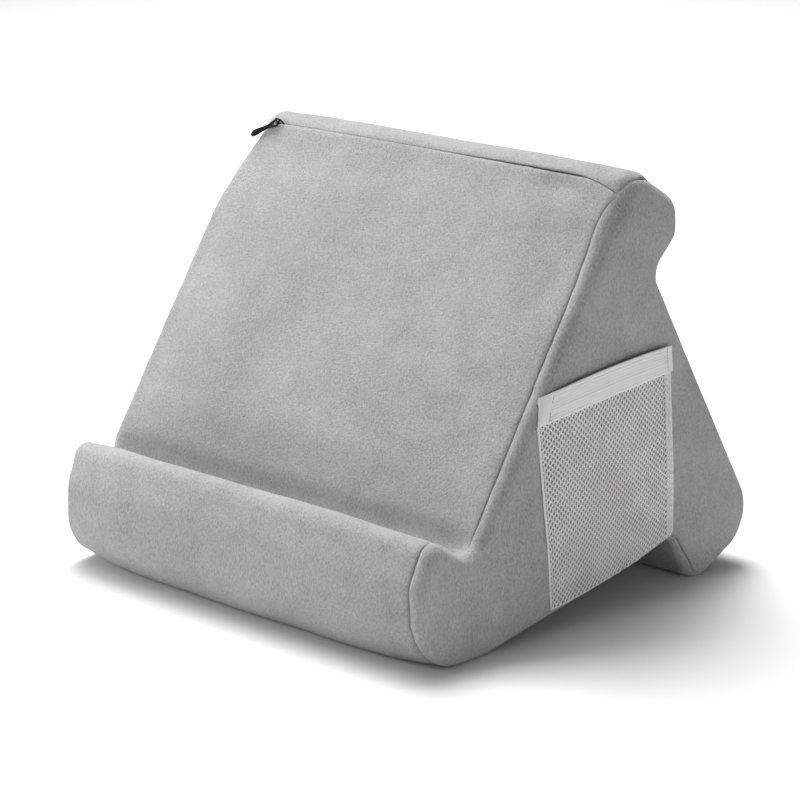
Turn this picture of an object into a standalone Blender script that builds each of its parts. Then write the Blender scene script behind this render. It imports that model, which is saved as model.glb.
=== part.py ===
"""Foam lap stand for a tablet: a plush cover over a foam core, with a zip and a side pocket.

The side profile is a triangle with a ledge at each corner: a front lip that the tablet stands
behind, a top lip and a rear foot. X runs along the width, -Y is the front, and the stand rests
on Z = 0 on the flat under its front lip and on its rear foot.
"""

import math

import bmesh
import bpy
from mathutils import Vector

# ---- driving dimensions, in metres and radians ---------------------------------------
MM = 0.001
HALF_WIDTH = 147 * MM       # middle to the flat of a side panel
RIM = 6 * MM                # rounding where a side panel turns on to the edge strips
SEAM_X = 138 * MM           # where the side panels meet the edge strips
COVER = 2 * MM              # plush fabric with its pile
GAP = 0.3 * MM              # clearance between pieces that touch
ARC_STEP = math.radians(15)
RIM_STEPS = 3

# Corners of the side profile: Y and Z in millimetres, and the radius that rounds each one.
# They run counter-clockwise seen from +X, starting under the front lip.
LIP_TOE, BELLY, NOTCH, FOOT_INNER, FOOT_OUTER, HEEL, BACK_VALLEY = range(7)
TOP_UNDERSIDE, TOP_TIP, TOP_EDGE, LEDGE, LIP_CREST, LIP_FACE = range(7, 13)
PROFILE = [
    (-134.5, 0.0, 33),
    (-82.0, 0.0, 20),
    (84.0, 29.5, 6),
    (100.5, 0.0, 8),
    (112.0, 0.0, 8),
    (166.4, 22.0, 25),
    (60.5, 193.0, 10),
    (82.0, 211.5, 11),
    (82.5, 231.0, 14),
    (42.3, 260.1, 16),
    (-91.6, 55.0, 11),
    (-121.5, 77.5, 10),
    (-135.5, 50.0, 22),
]
CENTRE_Y = 9.3              # middle of the profile's depth, which becomes Y = 0
FOAM_TOP_RADIUS = 32        # the foam is eased under the top front edge, to clear the zip
SEAM_GAP = 0.6 * MM         # between the strips, whose ends aren't quite square to each other

# Zip along the top front edge. Its own axes: X along the chain, Y up the slope, Z outward.
ZIP_TILT = math.radians(46)             # outward direction, forward of vertical
SLOT = 3 * MM                           # opening between the two panels over the zip
CHAIN_DEPTH = 4.8 * MM                  # coils below the cover's surface
COIL_RADIUS = 0.75 * MM
COIL_OFFSET = 1.55 * MM                 # each coil's axis from the middle of the chain
TAPE = 0.5 * MM
TAPE_EDGE = COIL_OFFSET + COIL_RADIUS + GAP
SLIDER_REST_X = -131 * MM
SLIDER_TRAVEL = 240 * MM
SLIDER_LENGTH = 8 * MM
SLIDER_HALF_WIDTH = 3.2 * MM
SLIDER_PLATE = 0.9 * MM
SLIDER_CHANNEL = 2.1 * MM
SLIDER_NECK = 0.5 * MM                  # half the width of the web between the coils
SLIDER_LIP = 0.4 * MM                   # how far each plate's edge turns in over the coils
SLIDER_LIP_WIDTH = 0.7 * MM
STOP_LENGTH = 2 * MM
STOP_EDGE = 0.2 * MM
CROWN_RADIUS = 2.5 * MM
CROWN_WIRE = 0.55 * MM
PIVOT_HEIGHT = 2.2 * MM                 # the pull's axis above the cover's surface
PULL_TURN = math.radians(30)            # the pull hangs aside from the chain, down the front
PULL_DROOP = math.radians(8)
PULL_LENGTH = 22.5 * MM                 # axis to tip
PULL_EYE = 3.0 * MM
PULL_HOLE = 2.1 * MM
PULL_WAIST = 1.3 * MM
PULL_BLADE = 2.4 * MM
PULL_THICKNESS = 1.3 * MM

# Pocket on the right side: corners as (Y, Z) in millimetres on the side panel.
POCKET_BOTTOM = ((-33.0, 18.0), (73.7, 36.5))
POCKET_TOP = ((-43.0, 139.0), (68.7, 147.0))
POCKET_BOW = 6 * MM         # how far the middle of the mouth stands off the side panel
MESH = 0.8 * MM
BAND = 1.1 * MM
BAND_SHARE = 0.128          # the elastic band's height as a share of the pocket's
POCKET_COLUMNS = 12
POCKET_ROWS = 8
BAND_ROWS = 2

UPRIGHT = (math.pi / 2, 0, math.pi / 2)     # turns an XY outline into the YZ plane


# ---- scene helpers ----------------------------------------------------------------------
def clear_scene():
    for obj in list(bpy.data.objects):
        bpy.data.objects.remove(obj, do_unlink=True)


def material(name, colour, roughness, metallic=0.0):
    made = bpy.data.materials.new(name)
    made.use_nodes = True
    shader = made.node_tree.nodes["Principled BSDF"]
    shader.inputs["Base Color"].default_value = (*colour, 1)
    shader.inputs["Roughness"].default_value = roughness
    shader.inputs["Metallic"].default_value = metallic
    return made


def add(name, data, finish, parent=None, location=(0, 0, 0), rotation=(0, 0, 0)):
    obj = bpy.data.objects.new(name, data)
    data.materials.append(finish)
    obj.location = location
    obj.rotation_euler = rotation
    obj.parent = parent
    PARTS.objects.link(obj)
    return obj


def empty(name, parent=None, location=(0, 0, 0), rotation=(0, 0, 0)):
    obj = bpy.data.objects.new(name, None)
    obj.location = location
    obj.rotation_euler = rotation
    obj.parent = parent
    PARTS.objects.link(obj)
    return obj


def solidify(obj, thickness, offset):
    shell = obj.modifiers.new("thickness", "SOLIDIFY")
    shell.thickness = thickness
    shell.offset = offset
    shell.use_even_offset = True


def flat_curve(splines, closed=True):
    """A 2D curve with one straight-sided spline for each list of points."""
    curve = bpy.data.curves.new("outline", "CURVE")
    curve.dimensions = "2D"
    curve.fill_mode = "BOTH" if closed else "NONE"
    for points in splines:
        spline = curve.splines.new("POLY")
        spline.points.add(len(points) - 1)
        for point, (x, y) in zip(spline.points, points):
            point.co = (x, y, 0, 1)
        spline.use_cyclic_u = closed
    return curve


# ---- the side profile -------------------------------------------------------------------
def corner_arc(index, inset=0.0, first=0.0, last=1.0, radius=None):
    """Points round one corner of the profile, that far inside the cover's surface.

    first and last give the stretch of the corner's turn, each as a share from 0 to 1.
    """
    here, before, after = (
        Vector(PROFILE[i % len(PROFILE)][:2]) * MM for i in (index, index - 1, index + 1)
    )
    heading = (here - before).normalized()
    leaving = (after - here).normalized()
    inward = Vector((-heading.y, heading.x))
    inward_after = Vector((-leaving.y, leaving.x))
    turn = math.atan2(heading.cross(leaving), heading.dot(leaving))
    rounding = (radius or PROFILE[index][2]) * MM - math.copysign(inset, turn)
    corner = here + (inward + inward_after) * inset / (1 + inward.dot(inward_after))
    side = math.copysign(1, turn)
    start = corner - heading * rounding * math.tan(abs(turn) / 2)
    centre = start + inward * rounding * side
    steps = max(1, math.ceil(abs(turn) * (last - first) / ARC_STEP - 1e-6))
    points = []
    for step in range(steps + 1):
        angle = turn * (first + (last - first) * step / steps)
        spoke = -inward * side * rounding
        turned = Vector((
            spoke.x * math.cos(angle) - spoke.y * math.sin(angle),
            spoke.x * math.sin(angle) + spoke.y * math.cos(angle),
        ))
        points.append(centre + turned - Vector((CENTRE_Y * MM, 0)))
    return points


def outline(inset=0.0, top_radius=None):
    """The whole side profile, counter-clockwise, that far inside the cover's surface."""
    points = []
    for index in range(len(PROFILE)):
        points += corner_arc(index, inset, radius=top_radius if index == TOP_EDGE else None)
    return points


def stretch(first_corner, last_corner, first_share=0.0, last_share=1.0):
    """The cover's surface from a point on one corner's arc on to a point on another's."""
    points = corner_arc(first_corner, first=first_share)
    index = (first_corner + 1) % len(PROFILE)
    while index != last_corner:
        points += corner_arc(index)
        index = (index + 1) % len(PROFILE)
    return points + corner_arc(last_corner, last=last_share)


def after_seam(corner, rest):
    """The points of a strip that is sewn on where that corner's arc ends."""
    seam = corner_arc(corner)[-1]
    return [seam + (rest[0] - seam).normalized() * SEAM_GAP] + rest


def corner_turn(index):
    """(direction the outward normal has as the corner starts, angle that it turns)."""
    here, before, after = (
        Vector(PROFILE[i % len(PROFILE)][:2]) for i in (index, index - 1, index + 1)
    )
    heading, leaving = here - before, after - here
    turn = math.atan2(heading.cross(leaving), heading.dot(leaving))
    return math.atan2(heading.y, heading.x) - math.pi / 2, turn


def share_of_length(index, length):
    """A length along a corner's arc as a share of the corner's turn."""
    return length / (abs(corner_turn(index)[1]) * PROFILE[index][2] * MM)


# ---- cover and core ---------------------------------------------------------------------
def section_mesh(name, sections, closed):
    """A skin through sections of equal point counts, capped at its last and, if closed, first."""
    mesh = bpy.data.meshes.new(name)
    bm = bmesh.new()
    rings = [[bm.verts.new((x, y, z)) for y, z in points] for x, points in sections]
    for ring, following in zip(rings, rings[1:]):
        for i, vert in enumerate(ring):
            j = (i + 1) % len(ring)
            bm.faces.new((vert, ring[j], following[j], following[i]))
    bm.faces.new(rings[-1])
    if closed:
        bm.faces.new(reversed(rings[0]))
    bmesh.ops.recalc_face_normals(bm, faces=bm.faces)
    bm.to_mesh(mesh)
    bm.free()
    return mesh


def rim_sections(side, inset, top_radius=None):
    """Sections round a side's rounded rim, from the full outline in to the flat side face."""
    sections = []
    rim = RIM - inset
    for step in range(RIM_STEPS + 1):
        angle = math.pi / 2 * step / RIM_STEPS
        x = HALF_WIDTH - RIM + rim * math.sin(angle)
        sections.append((side * x, outline(inset + rim * (1 - math.cos(angle)), top_radius)))
    return sections


def build_foam_core():
    inset = COVER + GAP
    left = rim_sections(-1, inset, FOAM_TOP_RADIUS)
    right = rim_sections(1, inset, FOAM_TOP_RADIUS)
    mesh = section_mesh("foam_core", left[::-1] + right, closed=True)
    add("foam_core", mesh, FOAM)


def build_side_panel(name, side):
    sections = [(side * SEAM_X, outline())] + rim_sections(side, 0.0)
    mesh = section_mesh(name, sections, closed=False)
    outward = Vector((side, 0, 0))
    cap = max(mesh.polygons, key=lambda face: face.area)
    if cap.normal.dot(outward) < 0:
        mesh.flip_normals()
    solidify(add(name, mesh, PLUSH), COVER, -1)


def build_strip(name, points):
    """A panel that follows the profile, from one side panel's seam to the other's."""
    curve = flat_curve([points], closed=False)
    curve.extrude = SEAM_X - GAP
    solidify(add(name, curve, PLUSH, rotation=UPRIGHT), COVER, 1)


def build_cover():
    normal, turn = corner_turn(TOP_EDGE)
    zip_share = (math.pi / 2 + ZIP_TILT - normal) / turn
    slot_share = share_of_length(TOP_EDGE, SLOT / 2)
    build_strip("front_panel", stretch(TOP_EDGE, LIP_TOE, first_share=zip_share + slot_share))
    build_strip("base_panel", after_seam(LIP_TOE, stretch(BELLY, FOOT_OUTER)))
    build_strip("back_panel", after_seam(
        FOOT_OUTER, stretch(HEEL, TOP_EDGE, last_share=zip_share - slot_share)))
    build_side_panel("left_side_panel", -1)
    build_side_panel("right_side_panel", 1)
    return corner_arc(TOP_EDGE, first=zip_share, last=zip_share)[0]


# ---- pocket -----------------------------------------------------------------------------
def pocket_skin(name, finish, rows, bottom_share, standoff, thickness):
    """A bowed sheet over part of the pocket's height, that far off the side panel."""
    corners = [[Vector(c) * MM for c in edge] for edge in (POCKET_BOTTOM, POCKET_TOP)]
    bm = bmesh.new()
    bmesh.ops.create_grid(bm, x_segments=POCKET_COLUMNS, y_segments=rows, size=0.5)
    for vert in bm.verts:
        across = vert.co.x + 0.5
        up = bottom_share + (vert.co.y + 0.5) * (1 - bottom_share)
        low, high = (edge[0].lerp(edge[1], across) for edge in corners)
        y, z = low.lerp(high, up)
        bow = POCKET_BOW * math.sqrt(abs(
            math.sin(math.pi * across) * math.sin(math.pi / 2 * up)))
        vert.co = (HALF_WIDTH + standoff + bow, y, z)
    bmesh.ops.recalc_face_normals(bm, faces=bm.faces)
    if sum(face.normal.x for face in bm.faces) < 0:
        bmesh.ops.reverse_faces(bm, faces=bm.faces)
    mesh = bpy.data.meshes.new(name)
    bm.to_mesh(mesh)
    bm.free()
    solidify(add(name, mesh, finish), thickness, 1)


def build_pocket():
    pocket_skin("pocket_mesh", NETTING, POCKET_ROWS, 0.0, GAP, MESH)
    pocket_skin(
        "pocket_elastic_band", ELASTIC, BAND_ROWS, 1 - BAND_SHARE, 2 * GAP + MESH, BAND)


# ---- zip --------------------------------------------------------------------------------
def chain_ends():
    """Where the chain starts and ends: the slider's faces at its two limits."""
    return (
        SLIDER_REST_X - SLIDER_LENGTH / 2,
        SLIDER_REST_X + SLIDER_TRAVEL + SLIDER_LENGTH / 2,
    )


def build_tape(name, zip_line, points):
    start, end = chain_ends()
    curve = flat_curve([points], closed=False)
    curve.extrude = (end - start) / 2 + STOP_LENGTH
    place = ((start + end) / 2, 0, 0)
    solidify(add(name, curve, ZIP_TAPE, zip_line, place, UPRIGHT), TAPE, 0)


def build_coil(name, zip_line, side):
    start, end = chain_ends()
    curve = bpy.data.curves.new(name, "CURVE")
    curve.dimensions = "3D"
    curve.bevel_depth = COIL_RADIUS
    curve.bevel_resolution = 2
    curve.use_fill_caps = True
    spline = curve.splines.new("POLY")
    spline.points.add(1)
    spline.points[0].co = (start, 0, 0, 1)
    spline.points[1].co = (end, 0, 0, 1)
    add(name, curve, ZIP_TAPE, zip_line, (0, side * COIL_OFFSET, -CHAIN_DEPTH))


def build_stop(name, zip_line, x):
    bpy.ops.mesh.primitive_cube_add(size=1)
    stop = bpy.context.object
    for collection in list(stop.users_collection):
        collection.objects.unlink(stop)
    PARTS.objects.link(stop)
    stop.name = name
    stop.data.materials.append(ZIP_PULL)
    size = (STOP_LENGTH, 2 * (TAPE_EDGE - GAP), 2 * COIL_RADIUS)
    for vert in stop.data.vertices:
        vert.co = [a * b for a, b in zip(vert.co, size)]
    stop.parent = zip_line
    stop.location = (x, 0, -CHAIN_DEPTH)
    bevel = stop.modifiers.new("rounded edges", "BEVEL")
    bevel.width = STOP_EDGE
    bevel.segments = 2


def slider_section():
    """Cross-section of the slider: two plates with lips, joined by a web between the coils."""
    half = SLIDER_CHANNEL / 2
    lip_inner = SLIDER_HALF_WIDTH - SLIDER_LIP_WIDTH
    quarter = [
        (SLIDER_NECK, 0),
        (SLIDER_NECK, half),
        (lip_inner, half),
        (lip_inner, half - SLIDER_LIP),
        (SLIDER_HALF_WIDTH, half - SLIDER_LIP),
        (SLIDER_HALF_WIDTH, half + SLIDER_PLATE),
    ]
    upper = quarter + [(-y, z) for y, z in reversed(quarter)]
    lower = [(-y, -z) for y, z in upper[1:-1]]
    return upper + lower


def build_slider(carriage):
    body = flat_curve([slider_section()])
    body.extrude = SLIDER_LENGTH / 2
    add("zip_slider_body", body, ZIP_PULL, carriage, (0, 0, -CHAIN_DEPTH), UPRIGHT)

    leg_end = SLIDER_CHANNEL / 2 + SLIDER_PLATE + GAP - CHAIN_DEPTH
    crown = bpy.data.curves.new("zip_slider_crown", "CURVE")
    crown.dimensions = "3D"
    crown.bevel_depth = CROWN_WIRE
    crown.bevel_resolution = 2
    crown.use_fill_caps = True
    steps = 10
    arch = [
        (-CROWN_RADIUS * math.cos(math.pi * i / steps),
         PIVOT_HEIGHT + CROWN_RADIUS * math.sin(math.pi * i / steps))
        for i in range(steps + 1)
    ]
    points = [(-CROWN_RADIUS, leg_end)] + arch + [(CROWN_RADIUS, leg_end)]
    spline = crown.splines.new("POLY")
    spline.points.add(len(points) - 1)
    for point, (x, z) in zip(spline.points, points):
        point.co = (x, 0, z, 1)
    add("zip_slider_crown", crown, ZIP_PULL, carriage)


def pull_outline():
    """A teardrop: an eye round the crown, a waist, and a blade with a round end."""
    eye_x = CROWN_RADIUS
    blade_x = PULL_LENGTH - PULL_BLADE
    steps = 8
    half = []
    eye_end = math.acos(PULL_WAIST / PULL_EYE)
    for i in range(steps + 1):
        angle = math.pi - (math.pi - eye_end) * i / steps
        half.append((eye_x + PULL_EYE * math.cos(angle), PULL_EYE * math.sin(angle)))
    half.append((eye_x + 2 * PULL_EYE, PULL_WAIST))
    for i in range(steps + 1):
        angle = math.pi / 2 * (1 - i / steps)
        half.append((blade_x + PULL_BLADE * math.cos(angle), PULL_BLADE * math.sin(angle)))
    return half + [(x, -y) for x, y in reversed(half[1:-1])]


def build_pull(carriage):
    hinge = empty(
        "pull_hinge", carriage, (0, 0, PIVOT_HEIGHT), (0, PULL_DROOP, math.pi + PULL_TURN))
    steps = 16
    hole = [
        (CROWN_RADIUS + PULL_HOLE * math.cos(2 * math.pi * i / steps),
         PULL_HOLE * math.sin(2 * math.pi * i / steps))
        for i in range(steps)
    ]
    plate = flat_curve([pull_outline(), hole])
    plate.extrude = PULL_THICKNESS / 2
    add("zip_pull", plate, ZIP_PULL, hinge)


def build_zip(seam_point):
    zip_line = empty("zip_line", None, (0, *seam_point), (ZIP_TILT, 0, 0))
    edge, level = TAPE_EDGE, -CHAIN_DEPTH
    build_tape("zip_tape_front", zip_line, [
        (-edge, level), (-4.6 * MM, -4.5 * MM), (-6.4 * MM, -4.1 * MM), (-13 * MM, -5.0 * MM)])
    build_tape("zip_tape_back", zip_line, [
        (edge, level), (4.6 * MM, -4.3 * MM), (6 * MM, -4.5 * MM), (8 * MM, -5.6 * MM),
        (10 * MM, -7.3 * MM)])
    build_coil("zip_coil_front", zip_line, -1)
    build_coil("zip_coil_back", zip_line, 1)
    start, end = chain_ends()
    build_stop("zip_top_stop", zip_line, start - GAP - STOP_LENGTH / 2)
    build_stop("zip_bottom_stop", zip_line, end + GAP + STOP_LENGTH / 2)
    carriage = empty("zip_carriage", zip_line, (SLIDER_REST_X, 0, 0))
    build_slider(carriage)
    build_pull(carriage)


clear_scene()
PARTS = bpy.data.collections.new("tablet_stand")
bpy.context.scene.collection.children.link(PARTS)
PLUSH = material("grey plush", (0.38, 0.375, 0.37), 0.9)
FOAM = material("foam", (0.85, 0.82, 0.7), 0.95)
NETTING = material("mesh fabric", (0.33, 0.33, 0.33), 0.8)
ELASTIC = material("woven elastic", (0.58, 0.58, 0.57), 0.75)
ZIP_TAPE = material("zip tape", (0.2, 0.2, 0.2), 0.8)
ZIP_PULL = material("black painted metal", (0.012, 0.012, 0.012), 0.4, 0.2)

build_foam_core()
build_zip(build_cover())
build_pocket()
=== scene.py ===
"""Looks of the tablet stand: a plush cover over a foam block, a mesh pocket and a zip.

The cover's panels, the pocket and the foam are built round the same side profile as the CAD,
with the soft crowning, the turned-in seams and the thickness of the real cloth.
"""

import math

import bmesh
import bpy
import numpy as np
from mathutils import Matrix, Vector, noise
from mathutils.geometry import delaunay_2d_cdt


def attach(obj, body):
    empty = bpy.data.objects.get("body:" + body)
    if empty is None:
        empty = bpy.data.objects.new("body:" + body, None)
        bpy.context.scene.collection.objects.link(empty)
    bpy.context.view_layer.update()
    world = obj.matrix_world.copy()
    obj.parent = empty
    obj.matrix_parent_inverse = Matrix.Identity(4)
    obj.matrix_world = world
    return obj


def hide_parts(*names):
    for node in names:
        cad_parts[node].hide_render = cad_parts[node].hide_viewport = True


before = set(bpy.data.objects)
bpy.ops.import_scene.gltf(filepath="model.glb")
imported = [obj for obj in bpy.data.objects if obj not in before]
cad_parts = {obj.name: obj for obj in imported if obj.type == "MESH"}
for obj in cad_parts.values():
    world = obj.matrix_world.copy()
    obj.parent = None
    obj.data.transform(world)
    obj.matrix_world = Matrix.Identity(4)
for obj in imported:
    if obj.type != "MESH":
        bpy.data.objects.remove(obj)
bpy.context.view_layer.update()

MM = 0.001

# ---- the CAD's driving sizes, in millimetres ----
LIP_TOE, BELLY, NOTCH, FOOT_INNER, FOOT_OUTER, HEEL, BACK_VALLEY = range(7)
TOP_UNDERSIDE, TOP_TIP, TOP_EDGE, LEDGE, LIP_CREST, LIP_FACE = range(7, 13)
# Each corner's Y, Z and radius.
PROFILE = [
    (-134.5, 0.0, 33), (-82.0, 0.0, 20), (84.0, 29.5, 6), (100.5, 0.0, 8), (112.0, 0.0, 8),
    (166.4, 22.0, 25), (60.5, 193.0, 10), (82.0, 211.5, 11), (82.5, 231.0, 14),
    (42.3, 260.1, 16), (-91.6, 55.0, 11), (-121.5, 77.5, 10), (-135.5, 50.0, 22),
]
CENTRE_Y = 9.3
HALF_WIDTH = 147.0
ZIP_TILT = math.radians(46)
CHAIN_DEPTH = 4.8
COIL_RADIUS = 0.75
COIL_OFFSET = 1.55
CHAIN_START, CHAIN_END = -135.0, 113.0
SLIDER_REST_X = -131.0
CROWN_RADIUS = 2.5
PIVOT_HEIGHT = 2.2
PULL_TURN = math.radians(30)
PULL_DROOP = math.radians(8)
PULL_LENGTH = 22.5
PULL_EYE = 3.0
PULL_HOLE = 2.1
PULL_WAIST = 1.3
PULL_BLADE = 2.4
PULL_THICKNESS = 1.3

# ---- how the cloth differs from the plain CAD solids, in millimetres ----
RIM = 6.0
RIM_AT_TOP = 13.0  # the shoulders are rounder than the rest of the rim
RIM_AT_BASE = 2.6  # and the edge that the stand rests on is tighter
FOLD = 0.8  # radius with which a panel's edge turns in at a seam
ZIP_FOLD = 0.45
TURN_IN = 1.8  # depth of the turned-in edge below that
WELT = 0.65  # ridge beside a seam, over its allowance
WELT_PLACE = 3.2
CLOTH = 1.1
ZIP_GAP = 0.62  # half the slot between the panels over the zip
ZIP_GAP_FADE = 2.0
ZIP_TURN_IN = 1.1
SEWN_FROM_X, SEWN_TO_X = 117.0, 137.0  # beyond the zip the two panels are sewn together
SEAM_DROP = 5.8  # the sewn end of the top seam curves down the front
SHIFT_FROM_X, SHIFT_OVER = 106.0, 31.0  # where that curve starts, and its length
SHIFT_FADE = 25.0  # it fades over about that distance from the seam
WEAR_FROM_X, WEAR_OVER = -30.0, 130.0  # where the zip's lips start to gape
WEAR_LEAST = 0.14
PULL_DENT = 2.1  # where the pull lies with the zip open
PULL_DENT_PLACE = (95.0, 8.5)  # X, and how far down the front from the zip
PULL_DENT_SIZE = (14.0, 7.0)
PULL_IN_REACH = 13.0  # how far from a side seam the cloth is still pulled in
SIDE_BULGE = 2.8
BULGE_REACH = 42.0  # the bulge builds up over about that distance from the rim
LEFT_SWELL = 6.5  # the left side's fullness beyond the right one's
FACE_SWELL = 5.5  # and that of the face beside it
SWELL_FROM_X, SWELL_OVER = -30.0, 105.0  # that fullness builds up from there to the left
SWELL_Y, SWELL_Z, SWELL_SLOPE = -109.3, 52.0, 0.9  # and above a slanting line behind the lip
LIP_SWELL = 3.6  # the lip's crest stands out a little at its left end
LIP_SWELL_FROM_X, LIP_SWELL_OVER = -95.0, 40.0
GRID = 3.0  # spacing of the strips' mesh
SIDE_GRID = 3.2  # and of the side panels' mesh, inside their rims
RIM_GRID = 2.2  # and round their rims
FOAM_GRID = 6.0
FOAM_BOTTOM = 2.4  # the lowest height of the foam
FOAM_UNDER = 3.4  # from the cover's outside down to the foam
FOAM_UNDER_ZIP = 6.3  # and that much deeper under the zip


# ---- side profile ----
def corner_geometry(index):
    """(centre, radius, start angle of the outward normal, turn) of one rounded corner."""
    here, before, after = (
        np.array(PROFILE[i % len(PROFILE)][:2]) for i in (index, index - 1, index + 1))
    heading = (here - before) / np.linalg.norm(here - before)
    leaving = (after - here) / np.linalg.norm(after - here)
    turn = math.atan2(
        heading[0] * leaving[1] - heading[1] * leaving[0], float(heading @ leaving))
    radius = PROFILE[index][2]
    inward = np.array([-heading[1], heading[0]]) * math.copysign(1, turn)
    start = here - heading * radius * math.tan(abs(turn) / 2)
    return start + inward * radius, radius, math.atan2(-heading[0], heading[1]), turn


def arc(index, first=0.0, last=1.0, step=0.25):
    """Points and outward normals along part of a corner's arc."""
    centre, radius, angle, turn = corner_geometry(index)
    count = max(2, math.ceil(abs(turn) * radius * (last - first) / step))
    angles = angle + turn * np.linspace(first, last, count)
    normals = np.stack([np.cos(angles), np.sin(angles)], 1)
    return centre + normals * radius * math.copysign(1, turn), normals


def trace_profile():
    """Close points round the profile from the zip on, their normals, and how far each is.

    Also (start, end) of each corner's arc as distances along the profile.
    """
    _, _, angle, turn = corner_geometry(TOP_EDGE)
    zip_share = (math.pi / 2 + ZIP_TILT - angle) / turn
    stretches = [(TOP_EDGE, zip_share, 1.0)]
    stretches += [((TOP_EDGE + i) % len(PROFILE), 0.0, 1.0) for i in range(1, len(PROFILE))]
    stretches.append((TOP_EDGE, 0.0, zip_share))
    points, normals, reach, travelled = [], [], {}, 0.0
    for index, first, last in stretches:
        p, n = arc(index, first, last)
        if points:
            gap = p[0] - points[-1][-1]
            length = float(np.linalg.norm(gap))
            count = max(2, math.ceil(length / 0.5))
            shares = np.linspace(0, 1, count, endpoint=False)[1:, None]
            points.append(points[-1][-1] + gap * shares)
            normals.append(np.repeat(n[:1], len(shares), 0))
            travelled += length
        start = travelled
        travelled += float(np.linalg.norm(np.diff(p, axis=0), axis=1).sum())
        reach.setdefault(index, (start, travelled))
        points.append(p)
        normals.append(n)
    points, normals = np.concatenate(points), np.concatenate(normals)
    points = points - (CENTRE_Y, 0)
    steps = np.linalg.norm(np.diff(points, axis=0), axis=1)
    return points, normals, np.concatenate([[0], np.cumsum(steps)]), reach


POINTS, NORMALS, ALONG, REACH = trace_profile()
ROUND = float(ALONG[-1])
TOE_SEAM = REACH[LIP_TOE][1]
FOOT_SEAM = REACH[FOOT_OUTER][1]


def profile_at(s):
    """Points and unit outward normals, as (Y, Z), at distances along the profile."""
    s = np.mod(s, ROUND)
    point = np.stack([np.interp(s, ALONG, POINTS[:, k]) for k in (0, 1)], -1)
    normal = np.stack([np.interp(s, ALONG, NORMALS[:, k]) for k in (0, 1)], -1)
    return point, normal / np.linalg.norm(normal, axis=-1, keepdims=True)


def middle(first, second, share=0.5):
    """A place on the straight run between two corners."""
    start, end = REACH[first][1], REACH[second][0]
    return start + (end - start) * share


def rising(distance, reach):
    """0 at no distance, then rising towards 1 over about that reach."""
    return 1 - np.exp(-np.maximum(distance, 0) / reach)


def smooth_table(knots, blur=12.0):
    """A smooth function of the distance along the profile through (place, value) pairs."""
    places = np.linspace(0, ROUND, 2048, endpoint=False)
    xs, ys = zip(*knots)
    values = np.interp(places, xs, ys, period=ROUND)
    width = int(blur / ROUND * len(places)) | 1
    kernel = np.hanning(width + 2)[1:-1]
    padded = np.concatenate([values[-width:], values, values[:width]])
    values = np.convolve(padded, kernel / kernel.sum(), "same")[width:-width]
    return lambda s: np.interp(np.mod(s, ROUND), places, values, period=ROUND)


def at(corner):
    """The place of the middle of a corner's arc."""
    return sum(REACH[corner]) / 2


# How far the cloth crowns out between the side seams, and how far those are pulled in.
CROWN = smooth_table([
    (2.0, 0.6), (middle(TOP_EDGE, LEDGE, 0.12), 1.4), (middle(TOP_EDGE, LEDGE), 3.4),
    (middle(TOP_EDGE, LEDGE, 0.85), 3.0), (at(LEDGE), -3.0),
    (at(LIP_CREST), 2.2), (at(LIP_FACE), 2.4),
    (at(LIP_TOE), 6.0), (middle(BELLY, NOTCH), 1.5), (at(NOTCH), 0.2),
    (at(FOOT_INNER), 0.3), (at(HEEL), 1.5), (middle(HEEL, BACK_VALLEY), 2.6),
    (at(BACK_VALLEY), 0.2), (at(TOP_TIP), 1.2),
    (ROUND - 14.0, 0.8),
])
PULL_IN = smooth_table([
    (2.0, 1.4), (middle(TOP_EDGE, LEDGE), 0.4), (at(LEDGE), 0.3),
    (at(LIP_CREST), 1.6), (at(LIP_FACE), 1.6),
    (at(LIP_TOE), 0.8), (middle(BELLY, NOTCH), 0.1), (at(NOTCH), 0.1),
    (at(FOOT_OUTER), 0.1), (at(HEEL), 1.0),
    (middle(HEEL, BACK_VALLEY), 0.5), (at(BACK_VALLEY), 0.2),
    (at(TOP_TIP), 0.6), (ROUND - 30.0, 0.5), (ROUND - 14.0, 0.8),
])
RIM_RADIUS = smooth_table([
    (2.0, RIM_AT_TOP), (middle(TOP_EDGE, LEDGE, 0.3), RIM), (at(LEDGE), RIM),
    (at(LIP_CREST), RIM + 1), (at(LIP_FACE), RIM + 1),
    (at(LIP_TOE), RIM_AT_BASE + 1), (middle(BELLY, NOTCH, 0.8), RIM_AT_BASE),
    (at(NOTCH), RIM + 2), (at(FOOT_INNER) - 5, RIM + 2),
    (at(FOOT_OUTER), RIM_AT_BASE), (at(HEEL), RIM),
    (middle(HEEL, BACK_VALLEY), RIM), (at(BACK_VALLEY), RIM - 1),
    (at(TOP_TIP), RIM + 2), (ROUND - 14.0, RIM_AT_TOP),
], blur=16.0)

# The valley behind the lip is drawn in, right up to the side seams.
VALLEY = smooth_table([
    (at(LEDGE) - 16, 0.0), (at(LEDGE) - 4, 4.0),
    (at(LEDGE) + 4, 4.0), (at(LEDGE) + 16, 0.0),
], blur=8.0)


def crowning(s, inward):
    """How far the cloth stands out from the profile, that far from where the rim starts."""
    return CROWN(s) * rising(inward - 3, 24) - VALLEY(s) * rising(inward - 1, 7)


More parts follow.
